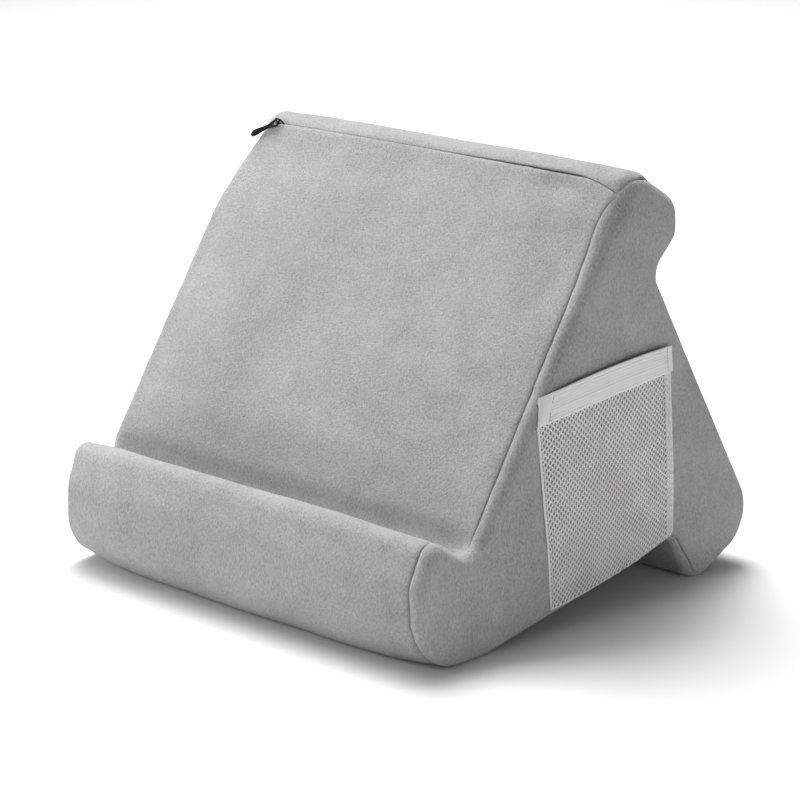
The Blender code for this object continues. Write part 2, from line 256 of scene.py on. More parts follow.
# Where the side seams lie: millimetres round the rim from its start on the strips. The right
# one lies on the strips and climbs on to the rim at the shoulder; the left one lies on the rim.
RIGHT_SEAM = smooth_table([
    (1.0, 7.5), (6.0, 5.0), (10.0, 3.4), (24.0, -1.2), (middle(TOP_EDGE, LEDGE, 0.3), -3.0),
    (at(LIP_CREST), -3.0), (at(LIP_TOE), -3.0),
    (middle(BELLY, NOTCH, 0.88), -3.0), (at(NOTCH), 6.0),
    (at(FOOT_INNER) - 6, 9.0), (at(FOOT_OUTER), 3.0),
    (at(HEEL), -3.0), (at(TOP_TIP), -2.0), (ROUND - 34.0, 3.5),
    (ROUND - 18.0, 11.0), (ROUND - 8.0, 10.5),
], blur=8.0)
LEFT_TURN = smooth_table([
    (4.0, 0.95), (20.0, 1.05), (at(LEDGE), 1.05), (at(LIP_CREST), 0.8),
    (at(LIP_FACE), 1.05), (at(TOP_TIP), 1.05), (ROUND - 20.0, 0.35),
    (ROUND - 8.0, 0.5),
], blur=10.0)


def seam_place(s, side):
    return RIGHT_SEAM(s) if side > 0 else LEFT_TURN(s) * RIM_RADIUS(s)


def wrapped(s, q, side):
    """Points and outward normals at places s along the profile and q round a side's rim."""
    rim = RIM_RADIUS(s)
    angle = np.clip(q / rim, 0, math.pi / 2)
    point, normal = profile_at(s)
    x = HALF_WIDTH - rim + np.minimum(q, 0) + rim * np.sin(angle)
    flat = point - normal * (rim * (1 - np.cos(angle)))[:, None]
    outward = np.column_stack([side * np.sin(angle), normal * np.cos(angle)[:, None]])
    return np.column_stack([side * x, flat]), outward


def fold_drop(edge, fold=FOLD):
    """How far the surface turns in, that far from a seam."""
    inside = np.clip(fold - edge, 0, fold)
    return fold - np.sqrt(np.maximum(fold ** 2 - inside ** 2, 0))


def welt(edge):
    return WELT * edge / WELT_PLACE * np.exp(1 - edge / WELT_PLACE)


def noise_at(points, size, seed):
    """Smooth noise of about -1 to 1 whose features are that many millimetres across."""
    shift = Vector((seed * 7.31, seed * 3.17, seed * 5.77))
    return np.array([noise.fractal(Vector(p) / size + shift, 1.0, 2.0, 2) for p in points])


def pucker(s, edge, side):
    """Small gathers that the stitching pulls up beside a seam."""
    places = np.column_stack([s, 0 * s, side * 40.0 + 0 * s])
    gathers = 0.5 * noise_at(places, 7.0, 3) + 0.16 * noise_at(places, 2.6, 4)
    return gathers * np.exp(-edge / 5.0)


def smooth_step(values):
    t = np.clip(values, 0, 1)
    return t * t * (3 - 2 * t)


def fuller(points):
    """Moves points on the left outward: that side is stuffed fuller than the right one."""
    points = np.array(points, float)
    yz = points[:, 1:]
    left = smooth_step((SWELL_FROM_X - points[:, 0]) / SWELL_OVER)
    above_line = yz[:, 1] - SWELL_Z + SWELL_SLOPE * (yz[:, 0] - SWELL_Y)
    rise = smooth_step(above_line / 30)
    foot, face_normal = profile_at(middle(TOP_EDGE, LEDGE))
    behind = np.maximum(-(yz - foot) @ face_normal, 0)
    below_top = np.linalg.norm(yz - profile_at(0.0)[0], axis=1)
    lift = FACE_SWELL * left * rise * smooth_step((below_top - 12) / 50) * np.exp(-behind / 30)
    points[:, 0] -= LEFT_SWELL * left * rise * (0.4 + 0.6 * smooth_step(below_top / 30))
    points[:, 1:] += lift[:, None] * face_normal
    crest_gap = np.linalg.norm(yz - profile_at(at(LIP_CREST))[0], axis=1)
    end = smooth_step((LIP_SWELL_FROM_X - points[:, 0]) / LIP_SWELL_OVER)
    points[:, 0] -= LIP_SWELL * np.exp(-(crest_gap / 18) ** 2) * end
    return points


# ---- meshes ----
def add_object(name, data):
    obj = bpy.data.objects.new(name, data)
    bpy.context.scene.collection.objects.link(obj)
    return obj


def new_object(name, verts, faces):
    mesh = bpy.data.meshes.new(name)
    mesh.from_pydata([tuple(v) for v in fuller(verts) * MM], [], faces)
    mesh.validate()
    mesh.shade_smooth()
    return add_object(name, mesh)


def grid_faces(rows, columns, closed=False):
    """Faces of a grid of points; a closed one joins each row's last point to its first."""
    faces = []
    for i in range(rows - 1):
        for j in range(columns - 1):
            a, b = i * columns + j, (i + 1) * columns + j
            faces.append((a, a + 1, b + 1, b))
    if closed:
        for i in range(rows - 1):
            a, b = i * columns, (i + 1) * columns
            faces.append((a + columns - 1, a, b, b + columns - 1))
    return faces


def edge_steps(turn_in, reach=10.3):
    """(distance from the edge, extra depth) of the close rows beside a seam, from it inwards."""
    rows = [(0.0, turn_in), (0.0, turn_in / 2), (0.0, 0.0)]
    steps = (0.1, 0.25, 0.45, 0.7, 1.0, 1.5, 2.2, 3.1, 4.3, 5.8, 7.8, 10.3, 13, 16, 20, 24)
    return rows + [(e, 0.0) for e in steps if e <= reach]


def span_rows(length, turn_in_start, turn_in_end):
    """(place, depth) rows across a panel of that length, close together at both seams."""
    start, end = edge_steps(turn_in_start), edge_steps(turn_in_end)
    low, high = start[-1][0], length - end[-1][0]
    count = max(2, round((high - low) / GRID))
    between = [(low + (high - low) * i / count, 0.0) for i in range(1, count)]
    return start + between + [(length - e, depth) for e, depth in reversed(end)]


def span_columns(s):
    """(side, place round the rim, distance from the seam, depth) across the strips at s."""
    flat = HALF_WIDTH - RIM_RADIUS(s)
    left, right = edge_steps(TURN_IN, 24.0), edge_steps(TURN_IN)
    left_seam, right_seam = seam_place(s, -1), seam_place(s, 1)
    columns = [(-1, left_seam - e, e, depth) for e, depth in left]
    low, high = -(flat + left_seam - left[-1][0]), flat + right_seam - right[-1][0]
    count = round(2 * HALF_WIDTH / GRID)
    for i in range(1, count):
        x = low + (high - low) * i / count
        side = -1 if x < 0 else 1
        columns.append((side, abs(x) - flat, flat + seam_place(s, side) - abs(x), 0.0))
    return np.array(columns + [(1, right_seam - e, e, depth) for e, depth in reversed(right)]).T


def solidify(obj, thickness, offset=-1.0):
    shell = obj.modifiers.new("cloth thickness", "SOLIDIFY")
    shell.thickness = thickness * MM
    shell.offset = offset
    return obj


def zip_shift(x):
    """How far the top seam lies down the front from the zip's line, at each X."""
    return SEAM_DROP * np.clip((x - SHIFT_FROM_X) / SHIFT_OVER, 0, 1.1) ** 2


def zip_gap(x):
    sewn = np.clip((x - SEWN_FROM_X + 6) / 6, 0, 1)
    slider = np.exp(-((x - SLIDER_REST_X) / 4) ** 2)
    return ZIP_GAP * np.maximum(zip_wear(x), slider) * (1 - sewn) + 0.1 * sewn


def zip_wear(x):
    """The zip's lips are drawn tight beside the slider and gape a little towards its end."""
    return WEAR_LEAST + (1 - WEAR_LEAST) * smooth_step((x - WEAR_FROM_X) / WEAR_OVER)


def undulation(points):
    """Soft unevenness of cloth over foam."""
    return 0.75 * noise_at(points, 85.0, 1) + 0.3 * noise_at(points, 28.0, 2)


def settle(points):
    """Cloth that would hang below the surface that the stand rests on lies flat on it."""
    low = points[:, 2] < 0.8
    points[low, 2] = 0.8 * np.exp((points[low, 2] - 0.8) / 0.8)
    return points


def build_strip(name, start, end, from_zip=False, to_zip=False):
    """A panel of the cover that follows the profile from one place to another."""
    rows = span_rows(
        end - start,
        ZIP_TURN_IN if from_zip else TURN_IN,
        ZIP_TURN_IN if to_zip else TURN_IN)
    verts = []
    for place, depth in rows:
        side, q, edge, deep = span_columns(start + place)
        s = np.full(len(q), start + place)
        x = side * (HALF_WIDTH - RIM_RADIUS(s) + q)
        to_start, to_end = place, end - start - place
        for zipped, gap, way in ((from_zip, to_start, 1), (to_zip, to_end, -1)):
            if zipped:
                s = s + zip_shift(x) * math.exp(-gap / SHIFT_FADE)
                s += way * zip_gap(x) * math.exp(-gap / ZIP_GAP_FADE)
        surface, outward = wrapped(s, q, side)
        row_edge = min(to_start, to_end)
        at_zip = (from_zip and to_start < to_end) or (to_zip and to_end < to_start)
        off = crowning(s, -q) - PULL_IN(s) * np.exp(-edge / PULL_IN_REACH)
        off += welt(edge) * rising(row_edge, 4) - fold_drop(edge)
        fold = ZIP_FOLD * zip_wear(x) if at_zip else FOLD
        off += 0.6 * welt(row_edge) - fold_drop(np.array(row_edge), fold)
        off += pucker(s, edge, 1.0) * side - depth - deep
        if from_zip:
            aside = (x - PULL_DENT_PLACE[0]) / PULL_DENT_SIZE[0]
            below = (to_start - PULL_DENT_PLACE[1]) / PULL_DENT_SIZE[1]
            off -= PULL_DENT * np.exp(-aside ** 2 - below ** 2)
        if at_zip:
            off += pucker(x, np.full_like(x, row_edge), 2.0) * zip_wear(x)
        off += undulation(surface) * rising(edge, 12) * rising(row_edge, 6)
        verts.append(surface + off[:, None] * outward)
    columns = len(verts[0])
    verts = settle(np.concatenate(verts))
    obj = new_object(name, verts, grid_faces(len(rows), columns))
    orient_outward(obj)
    return solidify(obj, CLOTH), end - start


def orient_outward(obj):
    """Turns the faces to look, on the whole, away from the stand's middle."""
    centre = Vector((0, 0, 0.1))
    if sum(f.normal.dot(f.center - centre) * f.area for f in obj.data.polygons) < 0:
        obj.data.flip_normals()


def nearest_outline(points):
    """Distance of (Y, Z) points from the profile's outline, and the rim's radius at that place."""
    coarse, along = POINTS[::3], ALONG[::3]
    distance, place = [], []
    for block in np.array_split(points, len(points) // 2000 + 1):
        gaps = ((block[:, None, :] - coarse[None]) ** 2).sum(-1)
        distance.append(np.sqrt(gaps.min(1)))
        place.append(along[gaps.argmin(1)])
    return np.concatenate(distance), RIM_RADIUS(np.concatenate(place))


def inside_outline(points, outline):
    """Which (Y, Z) points lie inside a closed outline."""
    inside = np.zeros(len(points), bool)
    for (ay, az), (by, bz) in zip(outline, np.roll(outline, -1, 0)):
        if az == bz:
            continue
        crosses = (az > points[:, 1]) != (bz > points[:, 1])
        crossing = (by - ay) * (points[:, 1] - az) / (bz - az) + ay
        inside ^= crosses & (points[:, 0] < crossing)
    return inside


def side_bulge(distance):
    return SIDE_BULGE * rising(distance, BULGE_REACH)


def side_surface(points):
    """X of the right side's surface at (Y, Z) points inside the outline."""
    distance, rim = nearest_outline(points)
    inside = np.clip(rim - distance, 0, rim)
    flat = HALF_WIDTH - rim + np.sqrt(np.maximum(rim ** 2 - inside ** 2, 0))
    return flat + side_bulge(distance - rim)


def build_side(name, side):
    """A side panel, from the seam round the rim and over the bulging side."""
    count = int(ROUND / RIM_GRID)
    s = np.arange(count) * ROUND / count
    seam = seam_place(s, side)
    reach = RIM_RADIUS(s) * math.pi / 2 - seam
    rings = [(0 * s, depth) for depth in (TURN_IN, TURN_IN / 2, 0.0)]
    rings += [(e + 0 * s, 0.0) for e in (0.1, 0.25, 0.45, 0.7, 1.0)]
    rings += [(1 + (reach - 1) * share, 0.0) for share in np.linspace(0, 1, 11)[1:]]
    verts = []
    for edge, depth in rings:
        surface, outward = wrapped(s, seam + edge, side)
        off = welt(edge) - fold_drop(edge) - depth - PULL_IN(s) * np.exp(-edge / PULL_IN_REACH)
        off = off * (1 - np.clip(edge / reach, 0, 1) ** 3) + pucker(s, edge, -1.0) * side
        verts.append(surface + off[:, None] * outward)
    faces = grid_faces(len(rings), count, closed=True)
    last_ring = verts[-1]
    low, high = last_ring[:, 1:].min(0), last_ring[:, 1:].max(0)
    lattice = []
    row_height = SIDE_GRID * math.sqrt(3) / 2
    for j in range(int((high[1] - low[1]) / row_height) + 1):
        for i in range(int((high[0] - low[0]) / SIDE_GRID) + 2):
            lattice.append((low[0] + (i + 0.5 * (j % 2)) * SIDE_GRID, low[1] + j * row_height))
    lattice = np.array(lattice)
    lattice = lattice[inside_outline(lattice, last_ring[:, 1:])]
    distance, rim = nearest_outline(lattice)
    lattice = lattice[distance > rim + SIDE_GRID * 0.6]
    flat = np.concatenate([last_ring[:, 1:], lattice])
    edges = [(i, (i + 1) % count) for i in range(count)]
    found = delaunay_2d_cdt([Vector(p) for p in flat], edges, [], 0, 1e-6, True)
    inner = np.array([tuple(v) for v in found[0]])
    triangles = np.array([tuple(t) for t in found[2]])
    triangles = triangles[inside_outline(inner[triangles].mean(1), last_ring[:, 1:])]
    origin = [min(ids) if ids else -1 for ids in found[3]]
    first_inner = (len(rings) - 1) * count
    base = len(rings) * count
    places, extra = [], []
    for index, source in enumerate(origin):
        if 0 <= source < count:
            places.append(first_inner + source)
        else:
            places.append(base + len(extra))
            extra.append(inner[index])
    extra = np.array(extra)
    distance, rim = nearest_outline(extra)
    past_rim = distance - rim
    x = HALF_WIDTH + side_bulge(past_rim)
    surface = np.column_stack([side * x, extra])
    surface[:, 0] += side * undulation(surface) * rising(past_rim, 12)
    faces += [tuple(places[i] for i in triangle) for triangle in triangles]
    verts = settle(np.concatenate(verts + [surface]))
    obj = new_object(name, verts, faces)
    unify_normals(obj, side)
    return solidify(obj, CLOTH)


def unify_normals(obj, side):
    """Makes neighbouring faces agree, with the broad side face looking outward."""
    bm = bmesh.new()
    bm.from_mesh(obj.data)
    bmesh.ops.recalc_face_normals(bm, faces=bm.faces)
    broad = sum(f.normal.x * f.calc_area() for f in bm.faces if abs(f.normal.x) > 0.9)
    if broad * side < 0:
        bmesh.ops.reverse_faces(bm, faces=bm.faces)
    bm.to_mesh(obj.data)
    bm.free()
    obj.data.shade_smooth()


def build_foam():
    """The foam block inside, a little under the cover all round and eased under the zip."""
    count = int(ROUND / FOAM_GRID)
    s = np.arange(count) * ROUND / count
    point, normal = profile_at(s)
    rim = RIM_RADIUS(s)
    start_x = HALF_WIDTH - 3 - rim
    from_zip = np.minimum(s, ROUND - s)
    under = FOAM_UNDER + FOAM_UNDER_ZIP * np.exp(-(from_zip / 17) ** 2)
    sections = []
    for share in np.linspace(-1, 1, 41):
        x = share * start_x
        edge = start_x * (1 - abs(share))
        off = crowning(s, edge + 3) - PULL_IN(s) * np.exp(-edge / PULL_IN_REACH) - under
        sections.append((x, point + normal * off[:, None]))
    for angle in np.radians([15, 35, 55, 75, 90]):
        edge = 3 + rim * angle
        off = -PULL_IN(s) * np.exp(-edge / PULL_IN_REACH) - under
        x = start_x + 3 + rim * np.sin(angle) + off * np.sin(angle)
        shrink = np.minimum(rim * (1 - np.cos(angle)) - off * np.cos(angle), rim)
        ring = point - normal * shrink[:, None]
        sections.append((x, ring))
        sections.insert(0, (-x, ring))
    verts = np.concatenate([np.stack([x, p[:, 0], p[:, 1]], -1) for x, p in sections])
    rows = len(sections)
    faces = grid_faces(rows, count, closed=True)
    faces.append(tuple(range(count)))
    faces.append(tuple(range((rows - 1) * count, rows * count))[::-1])
    verts[:, 2] = np.maximum(verts[:, 2], FOAM_BOTTOM)
    obj = new_object("foam_block", verts, faces)
    unify_normals(obj, 1)
    return obj


# ---- pocket ----
POCKET_HEIGHTS = (0.0, 0.5, 0.874, 1.0)
POCKET_FRONT = (-37.5, -46.1, -50.9, -46.2)
POCKET_REAR = (71.9, 67.3, 64.6, 63.3)
POCKET_LOW_Z = (13.0, 31.3)
POCKET_HIGH_Z = (139.1, 148.2)
POCKET_SAG = 2.6  # of its lower edge
POCKET_ARCH = 3.2  # of its mouth
POCKET_OFF = (0.35, 0.6)  # off the side at its sewn edges, and that much more within
POCKET_BOW = 0.9  # and more again at the middle of its mouth
MESH_PITCH = (3.55, 3.95)  # from hole to hole along a row, and up a column
HOLE = (0.43, 0.63)  # half the size of a hole, as a share of half the pitch
HOLE_LEAN = 0.2
HOLE_SIDES = 12
MESH_THICKNESS = 0.3
BAND_FROM = 0.874
NETTING_SHARE = 0.94  # the netting ends under the band
BAND_THICKNESS = 0.9
BAND_RIBS = 9
RIB = 0.17
LEFT_TAB = 7.0  # the band's folded end, in front of its bar tack
RIGHT_TAB = 3.6
BAND_END_DROP = 1.5  # of the band's top edge, at its front end
STITCH = 3.2


def pocket_surface(u, v, proud=0.0):
    """Points on the pocket: u runs from its front edge to its rear one, v from bottom to top."""
    u, v = np.asarray(u, float), np.asarray(v, float)
    front, rear = (np.interp(v, POCKET_HEIGHTS, edge) for edge in (POCKET_FRONT, POCKET_REAR))
    curve = 4 * u * (1 - u)
    bottom = POCKET_LOW_Z[0] + (POCKET_LOW_Z[1] - POCKET_LOW_Z[0]) * u - POCKET_SAG * curve
    top = POCKET_HIGH_Z[0] + (POCKET_HIGH_Z[1] - POCKET_HIGH_Z[0]) * u
    top += POCKET_ARCH * curve * np.clip(v, 0, 1) ** 3
    flat = np.stack([front + (rear - front) * u, bottom + (top - bottom) * v], -1)
    inner_u, inner_v = np.clip(u, 0, 1), np.clip(v, 0, 1)
    bow = POCKET_BOW * np.sin(math.pi * inner_u) ** 0.7 * np.sin(math.pi / 2 * inner_v) ** 1.4
    clear = np.clip(8 * np.minimum(np.minimum(inner_u, 1 - inner_u), inner_v), 0, 1)
    x = side_surface(flat) + POCKET_OFF[0] + POCKET_OFF[1] * clear + bow + proud
    ripple = 0.35 * noise_at(np.column_stack([0 * x, flat]), 24.0, 9)
    x += ripple * np.sin(math.pi * inner_u) * np.minimum(1, inner_v * 4)
    return np.column_stack([x, flat])


def pocket_size():
    """The pocket's width along its mouth and its height along its front edge."""
    width = POCKET_REAR[-1] - POCKET_FRONT[-1]
    return width, POCKET_HIGH_Z[0] - POCKET_LOW_Z[0]


def build_pocket_mesh():
    """Knitted mesh: a lattice of diamonds, each with an oval hole."""
    width, height = pocket_size()
    columns, rows = round(width / MESH_PITCH[0]), round(height / MESH_PITCH[1])
    places, uv, strand, faces = {}, [], [], []

    def vertex(i3, j3):
        """Index of a point of the lattice, given in thirds of half a pitch."""
        if (i3, j3) not in places:
            places[i3, j3] = len(uv)
            uv.append((i3 / (6 * columns), j3 / (6 * rows)))
            strand.append(1.0)
        return places[i3, j3]

    corners = [(1, 0), (0, 1), (-1, 0), (0, -1)]
    for i in range(2 * columns + 1):
        for j in range(2 * rows + 1):
            if (i + j) % 2 == 0:
                continue
            ring = []
            for k, (a, b) in enumerate(corners):
                c, d = corners[(k + 1) % 4]
                for third in range(3):
                    ring.append((3 * i + (3 - third) * a + third * c,
                                 3 * j + (3 - third) * b + third * d))
            inner = [p for p in ring if 0 <= p[0] <= 6 * columns and 0 <= p[1] <= 6 * rows]
            if len(inner) < len(ring):
                faces.append(tuple(vertex(*p) for p in inner))
                continue
            grow = 1 + 0.16 * noise.noise(Vector((i / 7, j / 7, 2.5)))
            hole = []
            for k in range(HOLE_SIDES):
                angle = math.tau / HOLE_SIDES * k
                a = HOLE[0] * grow * math.cos(angle) + HOLE_LEAN * HOLE[1] * math.sin(angle)
                b = HOLE[1] * grow * math.sin(angle)
                hole.append(len(uv))
                uv.append(((i + a) / (2 * columns), (j + b) / (2 * rows)))
                strand.append(0.0)
            around = [vertex(*p) for p in ring]
            for k in range(HOLE_SIDES):
                following = (k + 1) % HOLE_SIDES
                faces.append((around[k], around[following], hole[following], hole[k]))
    uv = np.array(uv) * (1, NETTING_SHARE)
    verts = pocket_surface(uv[:, 0], uv[:, 1], 0.3 * np.array(strand))
    obj = new_object("pocket_netting", verts, faces)
    orient_outward(obj)
    return solidify(obj, MESH_THICKNESS, 1.0)


def band_grid(name, u_steps, v_steps, proud, thickness, top_drop=None):
    """A sheet on the pocket that stands out by proud(u, v); top_drop(u) lowers its top edge."""
    u, v = np.meshgrid(u_steps, v_steps)
    u, v = u.ravel(), v.ravel()
    lift = proud(u, v)
    if top_drop is not None:
        share = np.clip((v - BAND_FROM) / (1 - BAND_FROM), 0, 1.2)
        v = v - top_drop(u) * share
    obj = new_object(
        name, pocket_surface(u, v, lift), grid_faces(len(v_steps), len(u_steps)))
    orient_outward(obj)
    return solidify(obj, thickness, 1.0)


def build_band():
    """Ribbed elastic along the pocket's mouth, with a folded end and a bar tack in front."""
    width, height = pocket_size()
    left, right = LEFT_TAB / width, 1 - RIGHT_TAB / width
    u_steps = np.concatenate([
        np.linspace(-0.004, left - 0.008, 9), np.linspace(left - 0.006, left + 0.008, 6),
        np.linspace(left + 0.02, right - 0.01, 62), np.linspace(right - 0.006, right + 0.006, 6),
        np.linspace(right + 0.012, 1.006, 5)])
    v_steps = np.linspace(BAND_FROM, 1.004, BAND_RIBS * 8 + 1)

    def proud(u, v):
        share = (v - BAND_FROM) / (1 - BAND_FROM)
        ribs = np.abs(np.sin(math.pi * BAND_RIBS * share)) ** 0.7
        body = 1 / (1 + np.exp(-(u - left) * 900)) / (1 + np.exp((u - right) * 900))
        groove = np.exp(-((u - left) * width / 0.7) ** 2) + np.exp(
            -((u - right) * width / 0.5) ** 2)
        tab = 0.45 * (1 - body)
        return MESH_THICKNESS + 0.25 + RIB * ribs * (0.25 + 0.75 * body) + tab - 0.5 * groove

    def top_drop(u):
        return BAND_END_DROP / height * np.clip(1 - u / left, 0, 1) ** 2.4

    return band_grid("pocket_elastic", u_steps, v_steps, proud, BAND_THICKNESS, top_drop)


def build_hem(name, u_from, u_to, v_to, proud_by, thickness):
    """A plain strip of doubled mesh along one side of the pocket."""
    u_steps = np.linspace(u_from, u_to, 8)
    v_steps = np.linspace(0.004, v_to, 60)

    def proud(u, v):
        across = np.clip((u - u_from) / (u_to - u_from), 0, 1)
        return proud_by * np.sin(math.pi * across) ** 0.5

    return band_grid(name, u_steps, v_steps, proud, thickness)


# ---- stitches ----
STITCH_RINGS = [(-1.0, 0.35), (-0.7, 0.85), (0.0, 1.0), (0.7, 0.85), (1.0, 0.35)]


def build_stitches(name, stitches, radius):
    """Rounded stitches, each given as (middle, half its length as a vector), in millimetres."""
    verts, faces = [], []
    sides = 6
    for centre, half in stitches:
        centre, half = np.array(centre, float), np.array(half, float)
        along = half / np.linalg.norm(half)
        aside = np.cross(along, (0.31, 0.87, 0.38))
        aside /= np.linalg.norm(aside)
        up = np.cross(along, aside)
        first = len(verts)
        for place, share in STITCH_RINGS:
            for k in range(sides):
                angle = math.tau * k / sides
                spoke = aside * math.cos(angle) + up * math.sin(angle)
                verts.append(centre + half * place + spoke * radius * share)
        for i in range(len(STITCH_RINGS) - 1):
            for k in range(sides):
                a, b = first + i * sides + k, first + i * sides + (k + 1) % sides
                faces.append((a, b, b + sides, a + sides))
        faces.append(tuple(first + k for k in range(sides))[::-1])
        last = first + (len(STITCH_RINGS) - 1) * sides
        faces.append(tuple(last + k for k in range(sides)))
    return new_object(name, verts, faces)


def seam_stitches(side):
    """Ladder stitches across the crease between a side panel and the strips."""
    count = int(ROUND / STITCH)
    s = np.arange(count) * ROUND / count
    surface, outward = wrapped(s, seam_place(s, side), side)
    places = surface - outward * (PULL_IN(s) + 0.75)[:, None]
    places[:, 2] = np.maximum(places[:, 2], 0.9)
    tangent = np.roll(places, -1, 0) - np.roll(places, 1, 0)
    tangent /= np.linalg.norm(tangent, axis=1)[:, None]
    across = np.cross(tangent, outward)
    return list(zip(places, tangent * 0.5 + across * 0.55))


def top_stitches():
    """Stitches that close the top seam beyond the zip."""
    made = []
    for x in np.arange(SEWN_FROM_X, SEWN_TO_X, 2.4):
        point, normal = profile_at(zip_shift(x))
        y, z = point + normal * (-PULL_IN(0) * math.exp(-(SEWN_TO_X + 2 - x) / PULL_IN_REACH) - 0.6)
        tangent = np.array([0, -normal[1], normal[0]])
        made.append(((x, y, z), tangent * 0.7 + np.array([0.5, 0, 0])))
    return made


def pocket_line(u_from, v_from, u_to, v_to, count, proud, half):
    """Stitches in a row on the pocket, each turned along the row."""
    shares = (np.arange(count) + 0.5) / count
    u, v = u_from + (u_to - u_from) * shares, v_from + (v_to - v_from) * shares
    places = pocket_surface(u, v, proud)
    ends = pocket_surface(np.array([u_from, u_to]), np.array([v_from, v_to]), proud)
    along = (ends[1] - ends[0]) / np.linalg.norm(ends[1] - ends[0])
    return [(p, along * half) for p in places]


def pocket_stitches():
    """The band's bar tacks and hem, and the rows along the netting's three sewn edges."""
    width, _ = pocket_size()
    left, right = LEFT_TAB / width, 1 - RIGHT_TAB / width
    hem = 1 - 6.3 / width
    over = MESH_THICKNESS + BAND_THICKNESS + 0.35
    made = pocket_line(left, BAND_FROM + 0.004, left, BAND_FROM + 0.045, 3, over, 0.6)
    made += pocket_line(left + 0.012, BAND_FROM, left + 0.012, BAND_FROM + 0.03, 2, over, 0.6)
    made += pocket_line(left, 0.955, left, 0.99, 2, over, 0.6)
    made += pocket_line(right, BAND_FROM + 0.004, right, 0.998, 8, over - 0.1, 0.75)
    made += pocket_line(hem, 0.01, hem, BAND_FROM, 44, MESH_THICKNESS + 0.1, 0.95)
    made += pocket_line(0.012, 0.01, 0.012, BAND_FROM, 44, MESH_THICKNESS + 0.25, 0.9)
    made += pocket_line(0.02, 0.012, 0.99, 0.012, 40, MESH_THICKNESS + 0.1, 0.9)
    return made


# ---- zip ----
def zip_matrix():
    y, z = profile_at(0.0)[0]
    place = Matrix.Translation(Vector((0, y, z)) * MM)
    return place @ Matrix.Rotation(ZIP_TILT, 4, "X")


def build_coil(name, side):
    """A nylon coil: a flattened helix within the chain's envelope."""
    wire, pitch, turn_points = 0.21, 1.25, 8
    turns = (CHAIN_END - CHAIN_START) / pitch
    count = int(turns * turn_points)
    curve = bpy.data.curves.new(name, "CURVE")
    curve.dimensions = "3D"
    curve.bevel_depth = wire * MM
    curve.bevel_resolution = 1
    curve.use_fill_caps = True
    spline = curve.splines.new("POLY")
    spline.points.add(count)
    for k, point in enumerate(spline.points):
        angle = math.tau * k / turn_points
        x = CHAIN_START + pitch * k / turn_points
        y = side * (COIL_OFFSET + (COIL_RADIUS - wire) * math.cos(angle))
        z = -CHAIN_DEPTH + (COIL_RADIUS - wire) * math.sin(angle)
        point.co = (x * MM, y * MM, z * MM, 1)
    obj = add_object(name, curve)
    obj.matrix_world = zip_matrix()
    return obj


def pull_outline():
    """A teardrop: an eye round the crown, a waist, and a blade with a round end."""
    steps = 20
    eye_end = math.acos(PULL_WAIST / PULL_EYE)
    blade_x = PULL_LENGTH - PULL_BLADE
    half = []
    for i in range(steps + 1):
        angle = math.pi - (math.pi - eye_end) * i / steps
        half.append((CROWN_RADIUS + PULL_EYE * math.cos(angle), PULL_EYE * math.sin(angle)))
    waist_x = CROWN_RADIUS + 2 * PULL_EYE
    for i in range(1, steps):
        t = i / steps
        x = waist_x + (blade_x - waist_x) * t
        half.append((x, PULL_WAIST + (PULL_BLADE - PULL_WAIST) * (3 - 2 * t) * t * t))
    for i in range(steps + 1):
        angle = math.pi / 2 * (1 - i / steps)
        half.append((blade_x + PULL_BLADE * math.cos(angle), PULL_BLADE * math.sin(angle)))
    return half + [(x, -y) for x, y in reversed(half[1:-1])]


def build_pull():
    """The zip's pull, a stamped teardrop with rounded edges."""
    rounding = 0.38
    curve = bpy.data.curves.new("pull outline", "CURVE")
    curve.dimensions = "2D"
    curve.fill_mode = "BOTH"
    curve.extrude = (PULL_THICKNESS / 2 - rounding) * MM
    curve.bevel_depth = rounding * MM
    curve.bevel_resolution = 3
    curve.offset = -rounding * MM
    steps = 28
    turns = [math.tau * i / steps for i in range(steps)]
    hole = [(CROWN_RADIUS + PULL_HOLE * math.cos(t), PULL_HOLE * math.sin(t)) for t in turns]
    for points in (pull_outline(), hole):
        spline = curve.splines.new("POLY")
        spline.points.add(len(points) - 1)
        for point, (x, y) in zip(spline.points, points):
            point.co = (x * MM, y * MM, 0, 1)
        spline.use_cyclic_u = True
    shape = add_object("pull shape", curve)
    evaluated = shape.evaluated_get(bpy.context.evaluated_depsgraph_get())
    mesh = bpy.data.meshes.new_from_object(evaluated)
    bpy.data.objects.remove(shape)
    obj = add_object("zip_pull_tab", mesh)
    place = Matrix.Translation(Vector((SLIDER_REST_X, 0, PIVOT_HEIGHT)) * MM)
    turn = Matrix.Rotation(math.pi + PULL_TURN, 4, "Z") @ Matrix.Rotation(PULL_DROOP, 4, "Y")
    obj.matrix_world = zip_matrix() @ place @ turn
    mesh.shade_smooth()
    mesh.set_sharp_from_angle(angle=math.radians(50))
    return obj


